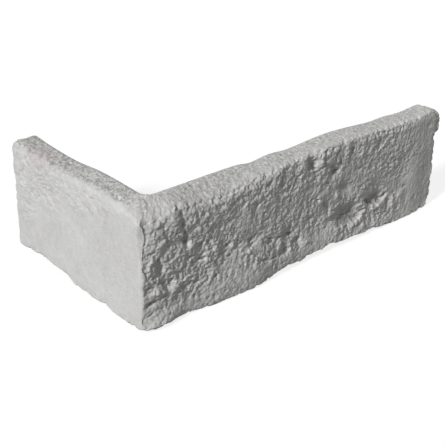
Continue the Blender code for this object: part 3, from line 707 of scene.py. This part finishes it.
slope = relief.nodes.new("GeometryNodeInputNormal").outputs[0]
moved = add(relief, "GeometryNodeSetPosition", {
    "Geometry": given["Geometry"], "Offset": scaled(relief, slope, height_here),
}).outputs[0]
whole = add(relief, "GeometryNodeRealizeInstances", {0: moved}).outputs[0]
faced = add(relief, "GeometryNodeSetMaterial", {
    "Geometry": whole, "Material": given["Cast Face"],
}).outputs[0]
on_back = maths(relief, "GREATER_THAN", struck_here, STRUCK_FROM)
backed = add(relief, "GeometryNodeSetMaterial", {
    "Geometry": faced, "Material": given["Struck Back"], "Selection": on_back,
}).outputs[0]
relief.links.new(backed, relief.nodes.new("NodeGroupOutput").inputs[0])


# The paste: white cement, pale grey pigment and fine sand. Its cast skin is even, with faint
# blotches and single grains. The struck back shows the drag of the board and open pores. Shade
# is painted into the hollows, into the low ground between flakes and into the pores.


def blended(tree, share, first, second):
    return add(tree, "ShaderNodeMix", {0: share, 6: first, 7: second}, data_type="RGBA").outputs[2]


def shader_group(name, takes, gives):
    """An empty shader node group with these named inputs, (name, kind, value), and outputs."""
    group = bpy.data.node_groups.new(name, "ShaderNodeTree")
    for label, kind, value in takes:
        socket = group.interface.new_socket(label, in_out="INPUT", socket_type="NodeSocket" + kind)
        socket.default_value = value
    for label, kind in gives:
        group.interface.new_socket(label, in_out="OUTPUT", socket_type="NodeSocket" + kind)
    return group, group.nodes.new("NodeGroupInput").outputs, group.nodes.new("NodeGroupOutput").inputs


# Sand: single grains that show darker or lighter, and how far they stand out
COARSE_TIMES, COARSE_HEIGHT, DARK_FROM = 3.3, 1.4, 0.30
sand, takes, gives = shader_group(
    "paste sand",
    [("Grain Length", "Float", 0.0009), ("Share Dark", "Float", 0.36)],
    [("Grain Tone", "Float"), ("Grain Height", "Float")],
)
spot = sand.nodes.new("ShaderNodeTexCoord").outputs["Object"]
sand_noise = noise_of(sand, spot, takes["Grain Length"], 3.0)
coarse_length = maths(sand, "MULTIPLY", takes["Grain Length"], COARSE_TIMES)
coarse_noise = noise_of(sand, spot, coarse_length, 2.0)
dark_grain = spread(sand, sand_noise, DARK_FROM, takes["Share Dark"], 1.0, 0.0)
grain_tone = maths(sand, "SUBTRACT", maths(sand, "ADD", sand_noise, coarse_noise), dark_grain)
sand.links.new(grain_tone, gives["Grain Tone"])
sand.links.new(maths(sand, "MULTIPLY_ADD", coarse_noise, COARSE_HEIGHT, sand_noise), gives["Grain Height"])

# Crust: small flakes and the low ground between them, finer than the lattice can hold
CRUST_STEP, LOW_STEP = (0.45, 0.55), (0.42, 0.32)
crust, takes, gives = shader_group(
    "paste crust",
    [("Flake Length", "Float", 0.0026), ("Raggedness", "Float", 0.66)],
    [("Flake Height", "Float"), ("Low Ground", "Float")],
)
spot = crust.nodes.new("ShaderNodeTexCoord").outputs["Object"]
crust_noise = noise_of(crust, spot, takes["Flake Length"], 5.0, takes["Raggedness"])
crust.links.new(spread(crust, crust_noise, *CRUST_STEP), gives["Flake Height"])
crust.links.new(spread(crust, crust_noise, *LOW_STEP), gives["Low Ground"])

# Tone: blotches left by water and mould release, between two colours of the paste
BLOTCH_STEP = (0.32, 0.68)
tone, takes, gives = shader_group(
    "paste tone",
    [("Light", "Color", (0.62, 0.618, 0.608, 1.0)), ("Dark", "Color", (0.57, 0.565, 0.552, 1.0)),
     ("Blotch Length", "Float", 0.022), ("Grain Tone", "Float", 1.0), ("Grain Contrast", "Float", 0.10)],
    [("Color", "Color"), ("Blotch", "Float")],
)
spot = tone.nodes.new("ShaderNodeTexCoord").outputs["Object"]
blotch = spread(tone, noise_of(tone, spot, takes["Blotch Length"], 4.0), *BLOTCH_STEP)
mixed = blended(tone, blotch, takes["Dark"], takes["Light"])
grainy = maths(tone, "SUBTRACT", takes["Grain Tone"], 1.0)
grainy = maths(tone, "MULTIPLY_ADD", grainy, takes["Grain Contrast"], 1.0)
tone.links.new(scaled(tone, mixed, grainy), gives["Color"])
tone.links.new(blotch, gives["Blotch"])


PASTE_ROUGHNESS = (0.86, 0.95)


def paste_material(name, light, dark, grain_contrast):
    """The paste's shader, with its sand and its tone; returns what a finish adds to."""
    made = bpy.data.materials.new(name)
    made.use_nodes = True
    tree = made.node_tree
    shader = tree.nodes["Principled BSDF"]
    grains = add(tree, "ShaderNodeGroup", {}, node_tree=sand).outputs
    tones = add(tree, "ShaderNodeGroup", {}, node_tree=tone)
    for label, value in (("Light", light), ("Dark", dark), ("Grain Contrast", grain_contrast)):
        tones.inputs[label].default_value = value
    tree.links.new(grains["Grain Tone"], tones.inputs["Grain Tone"])
    dullness = spread(tree, tones.outputs["Blotch"], 0.0, 1.0, *PASTE_ROUGHNESS)
    tree.links.new(dullness, shader.inputs["Roughness"])
    return made, tree, shader, tones.outputs["Color"], grains["Grain Height"]


def bumped(tree, shader, height, distance):
    bump = add(tree, "ShaderNodeBump", {"Height": height, "Distance": distance, "Strength": 1.0})
    tree.links.new(bump.outputs[0], shader.inputs["Normal"])


FACE_LIGHT, FACE_DARK = (0.635, 0.632, 0.622, 1.0), (0.585, 0.581, 0.570, 1.0)
BED_TONE = (0.522, 0.515, 0.50, 1.0)
# The dark tone is painted shade in the hollows, the low ground and the pores, and the colour of the dark
# specks in the open grain.
SHADE_AND_SPECK_TONE = (0.33, 0.327, 0.32, 1.0)
STAIN_TONE = (0.60, 0.52, 0.51, 1.0)
PALE_TONE = (0.76, 0.755, 0.735, 1.0)
STAIN_AT, STAIN_REACH = corner + Vector((0.003, 0.091, 0.066)), 0.015
STAIN_CORE, STAIN_SHARE = 0.3 * STAIN_REACH, 0.6
PATCH_LENGTH, PATCH_STEP = 0.006, (0.35, 0.6)
SPECKLE_LENGTH, SPECKLE_STEP, SPECKLE_SHARE = 0.0018, (0.47, 0.60), 0.95
PALE_LENGTH, PALE_STEP, PALE_SHARE = 0.0013, (0.54, 0.62), 0.75
HOLLOW_DEPTHS, HOLLOW_SHADE_SHARE = (0.2, 1.8), 0.75
OPEN_SHARE, BED_SHARE, LOW_GROUND_SHADE_SHARE, CRUST_SHARE = 0.5, 0.25, 0.15, 0.5
GRAININESS, GRAIN_HEIGHTS, FACE_CONTRAST = (0.3, 1.5), (0.35, 1.4), 0.24
SKIN_BUMP = 0.00012
cast_face, tree, shader, color, grain_height = paste_material(
    "cast_face", FACE_LIGHT, FACE_DARK, FACE_CONTRAST
)
spot = tree.nodes.new("ShaderNodeTexCoord").outputs["Object"]
masks = {
    name: add(tree, "ShaderNodeAttribute", {}, attribute_name=name).outputs["Fac"]
    for name in ("grain", "hollow", "bed", "rough", "open")
}
crusted = add(tree, "ShaderNodeGroup", {}, node_tree=crust).outputs
# Painted shade: the low ground between the crust's small flakes is darkened towards the dark tone.
low_ground_shade_share = maths(tree, "MULTIPLY", masks["rough"], LOW_GROUND_SHADE_SHARE)
low_ground_shade = maths(tree, "MULTIPLY", crusted["Low Ground"], low_ground_shade_share)
color = blended(tree, low_ground_shade, color, SHADE_AND_SPECK_TONE)
bed_share = maths(tree, "MULTIPLY", masks["bed"], BED_SHARE)
bed_share = maths(tree, "MULTIPLY_ADD", masks["open"], OPEN_SHARE, bed_share)
color = blended(tree, bed_share, color, BED_TONE)
speckles = spread(tree, noise_of(tree, spot, SPECKLE_LENGTH, 3.0), *SPECKLE_STEP)
speckles = maths(tree, "MULTIPLY", speckles, maths(tree, "MULTIPLY", masks["open"], SPECKLE_SHARE))
color = blended(tree, speckles, color, SHADE_AND_SPECK_TONE)
pale_grains = spread(tree, noise_of(tree, spot, PALE_LENGTH, 2.0), *PALE_STEP)
pale_grains = maths(tree, "MULTIPLY", pale_grains, maths(tree, "MULTIPLY", masks["bed"], PALE_SHARE))
color = blended(tree, pale_grains, color, PALE_TONE)
# Painted shade: hollows and pits are darkened by their depth, for the shade that falls into them.
painted_hollow_shade = spread(tree, masks["hollow"], *HOLLOW_DEPTHS, 0.0, HOLLOW_SHADE_SHARE)
color = blended(tree, painted_hollow_shade, color, SHADE_AND_SPECK_TONE)
from_stain = add(tree, "ShaderNodeVectorMath", {0: spot, 1: STAIN_AT}, operation="DISTANCE")
from_stain = from_stain.outputs["Value"]
patchy = noise_of(tree, spot, PATCH_LENGTH, 2.0)
stained = spread(tree, from_stain, STAIN_REACH, STAIN_CORE)
stained = maths(tree, "MULTIPLY", stained, spread(tree, patchy, *PATCH_STEP))
color = blended(tree, maths(tree, "MULTIPLY", stained, STAIN_SHARE), color, STAIN_TONE)
tree.links.new(color, shader.inputs["Base Color"])
grain_share = spread(tree, masks["grain"], *GRAININESS, *GRAIN_HEIGHTS)
skin_height = maths(tree, "MULTIPLY", grain_height, grain_share)
crust_share = maths(tree, "MULTIPLY", masks["rough"], CRUST_SHARE)
crust_height = maths(tree, "MULTIPLY", crusted["Flake Height"], crust_share)
bumped(tree, shader, maths(tree, "ADD", skin_height, crust_height), SKIN_BUMP)

BACK_LIGHT, BACK_DARK = (0.60, 0.596, 0.585, 1.0), (0.53, 0.525, 0.513, 1.0)
PORE_SHADE_TONE = SHADE_AND_SPECK_TONE
DRAG_WIDTH, DRAG_STRETCH = 0.0016, 14.0
LINE_STEP, LINE_SHARE = (0.55, 0.75), 0.5
PORE_SPACING, PORE_SIZE, PORE_FLOOR, PORE_RARITY = 0.0075, 0.0011, 0.6, 0.45
LINE_HEIGHT, SAND_HEIGHT, PORE_DEPTH = 1.6, 0.45, 1.6
BACK_BUMP, BACK_CONTRAST = 0.00035, 0.16
struck_back, tree, shader, color, grain_height = paste_material(
    "struck_back", BACK_LIGHT, BACK_DARK, BACK_CONTRAST
)
spot = tree.nodes.new("ShaderNodeTexCoord").outputs["Object"]
along_board = vector_maths(tree, "MULTIPLY", spot, (1.0, 1.0, DRAG_STRETCH))
lines = noise_of(tree, along_board, DRAG_WIDTH * DRAG_STRETCH, 3.0)
color = blended(tree, spread(tree, lines, *LINE_STEP, 0.0, LINE_SHARE), color, BACK_DARK)
pores = add(tree, "ShaderNodeTexVoronoi", {
    "Vector": spot, "Scale": 1.0 / PORE_SPACING,
}, feature="F1").outputs
pore_reach = PORE_SIZE / PORE_SPACING
open_pore = spread(tree, pores["Distance"], pore_reach, PORE_FLOOR * pore_reach)
some_pores = add(tree, "ShaderNodeSeparateColor", {0: pores["Color"]}).outputs[0]
open_pore = maths(tree, "MULTIPLY", open_pore, maths(tree, "GREATER_THAN", some_pores, PORE_RARITY))
# Painted shade: the open pores are darkened as well as sunk by the bump.
color = blended(tree, open_pore, color, PORE_SHADE_TONE)
tree.links.new(color, shader.inputs["Base Color"])
board_height = maths(tree, "MULTIPLY", grain_height, SAND_HEIGHT)
board_height = maths(tree, "MULTIPLY_ADD", lines, LINE_HEIGHT, board_height)
bumped(tree, shader, maths(tree, "MULTIPLY_ADD", open_pore, -PORE_DEPTH, board_height), BACK_BUMP)


# What the skin and its material know about every point of the slip
KNOWN = {
    "rough": rough, "struck": struck, "drag": drag, "grain": graininess, "edge": edge,
    "hollow": hollow * on_face + pit_depth, "bed": bed, "open": open_grain,
}


def placed(name, data):
    made = bpy.data.objects.new(name, data)
    bpy.context.scene.collection.objects.link(made)
    return made


SKIN_SEED = 7
mesh = plain_mesh("cast_slip", all_points, quads + back_faces)
for name, values in KNOWN.items():
    kept = mesh.attributes.new(name, "FLOAT", "POINT")
    kept.data.foreach_set("value", np.asarray(values, dtype=np.float32))
slip = placed("cast_slip", mesh)
skin_nodes = slip.modifiers.new("cast relief", "NODES")
skin_nodes.node_group = relief
inputs = {item.name: item.identifier for item in relief.interface.items_tree if item.in_out == "INPUT"}
for label, size in RELIEF_SIZES.items():
    skin_nodes[inputs[label]] = size
skin_nodes[inputs["Seed"]] = SKIN_SEED
skin_nodes[inputs["Cast Face"]] = cast_face
skin_nodes[inputs["Struck Back"]] = struck_back
bpy.context.view_layer.update()
finished = bpy.data.meshes.new_from_object(slip.evaluated_get(bpy.context.evaluated_depsgraph_get()))
slip.modifiers.remove(skin_nodes)
slip.data = finished
finished.name = "cast_slip"
bpy.data.meshes.remove(mesh)

# No point of the skin leaves the block that the slip is sold as
spots = np.empty(len(finished.vertices) * 3)
finished.vertices.foreach_get("co", spots)
spots = np.clip(spots.reshape(-1, 3), np.array(low), np.array(high))
finished.vertices.foreach_set("co", spots.ravel())
finished.update()
finished.shade_smooth()
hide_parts("corner_slip")
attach(slip, "root")


# The floor: plain and pale, white to the camera, and it keeps the slip's shadow.

FLOOR_REACH = 3.0
floor_corners = [(x * FLOOR_REACH, y * FLOOR_REACH, 0.0) for x, y in ((-1, -1), (1, -1), (1, 1), (-1, 1))]
floor_mesh = plain_mesh("floor", floor_corners, [(0, 1, 2, 3)])
floor = placed("floor", floor_mesh)
FLOOR_WHITE = (0.3, 0.3, 0.3, 1.0)
FLOOR_SHADED, FLOOR_GLOW = (0.25, 0.25, 0.25, 1.0), 0.83


def seen_directly(tree):
    """1 for the rays that show a thing to the camera, straight or through a reflection."""
    seen = tree.nodes.new("ShaderNodeLightPath").outputs
    direct = maths(tree, "MAXIMUM", seen["Is Glossy Ray"], seen["Is Transmission Ray"])
    return maths(tree, "MAXIMUM", direct, seen["Is Camera Ray"])


white = bpy.data.materials.new("floor_white")
white.use_nodes = True
tree = white.node_tree
tree.nodes.clear()
plain = add(tree, "ShaderNodeBsdfDiffuse", {"Color": FLOOR_WHITE}).outputs[0]
shaded = add(tree, "ShaderNodeBsdfDiffuse", {"Color": FLOOR_SHADED}).outputs[0]
glow = add(tree, "ShaderNodeEmission", {"Strength": FLOOR_GLOW}).outputs[0]
lit = add(tree, "ShaderNodeAddShader", {0: shaded, 1: glow}).outputs[0]
floor_shader = add(tree, "ShaderNodeMixShader", {0: seen_directly(tree), 1: plain, 2: lit}).outputs[0]
tree.links.new(floor_shader, tree.nodes.new("ShaderNodeOutputMaterial").inputs["Surface"])
floor_mesh.materials.append(white)


# The light: a soft key from the left and above, a weak and very soft lamp in front, a stronger one
# behind that lights the struck backs, and a pale studio all round.

SKY, SKY_SEEN = 0.08, 1.0
Lamp = namedtuple("Lamp", "name strength spread way")
LAMPS = (
    Lamp("key", 3.05, math.radians(7), Vector((0.81, 0.17, -0.56))),
    Lamp("fill", 0.23, math.radians(60), Vector((-0.25, 0.75, -0.60))),
    Lamp("back", 1.00, math.radians(60), Vector((-0.42, -0.88, -0.22))),
)
world = bpy.data.worlds.new("studio")
bpy.context.scene.world = world
world.use_nodes = True
tree = world.node_tree
background = tree.nodes["Background"]
background.inputs["Color"].default_value = (1.0, 1.0, 1.0, 1.0)
sky_strength = maths(tree, "MULTIPLY_ADD", seen_directly(tree), SKY_SEEN - SKY, SKY)
tree.links.new(sky_strength, background.inputs["Strength"])

for lamp in LAMPS:
    sun = bpy.data.lights.new(lamp.name, "SUN")
    sun.energy = lamp.strength
    sun.angle = lamp.spread
    hung = placed(lamp.name, sun)
    hung.rotation_euler = lamp.way.to_track_quat("-Z", "Y").to_euler()


# The camera, at the photograph's angle: places in metres from the slip's outer corner.

CAMERA_AT = Vector((-0.2311, -0.3125, 0.2663))
CAMERA_YAW = math.radians(47.96)
CAMERA_PITCH = math.radians(27.65)
CAMERA_ROLL = math.radians(1.49)
CAMERA_LENS, SENSOR_WIDTH = 77.0, 36.0

ahead = Vector((
    math.cos(CAMERA_PITCH) * math.cos(CAMERA_YAW),
    math.cos(CAMERA_PITCH) * math.sin(CAMERA_YAW),
    -math.sin(CAMERA_PITCH),
))
level = Vector((math.sin(CAMERA_YAW), -math.cos(CAMERA_YAW), 0.0))
upward = level.cross(ahead)
right = level * math.cos(CAMERA_ROLL) + upward * math.sin(CAMERA_ROLL)
upward = right.cross(ahead)
view = bpy.data.cameras.new("camera")
view.lens = CAMERA_LENS
view.sensor_width = SENSOR_WIDTH
camera = placed("camera", view)
camera.matrix_world = (
    Matrix.Translation(corner + CAMERA_AT) @ Matrix((right, upward, -ahead)).transposed().to_4x4()
)
bpy.context.scene.camera = camera
bpy.context.scene.view_settings.view_transform = "Standard"
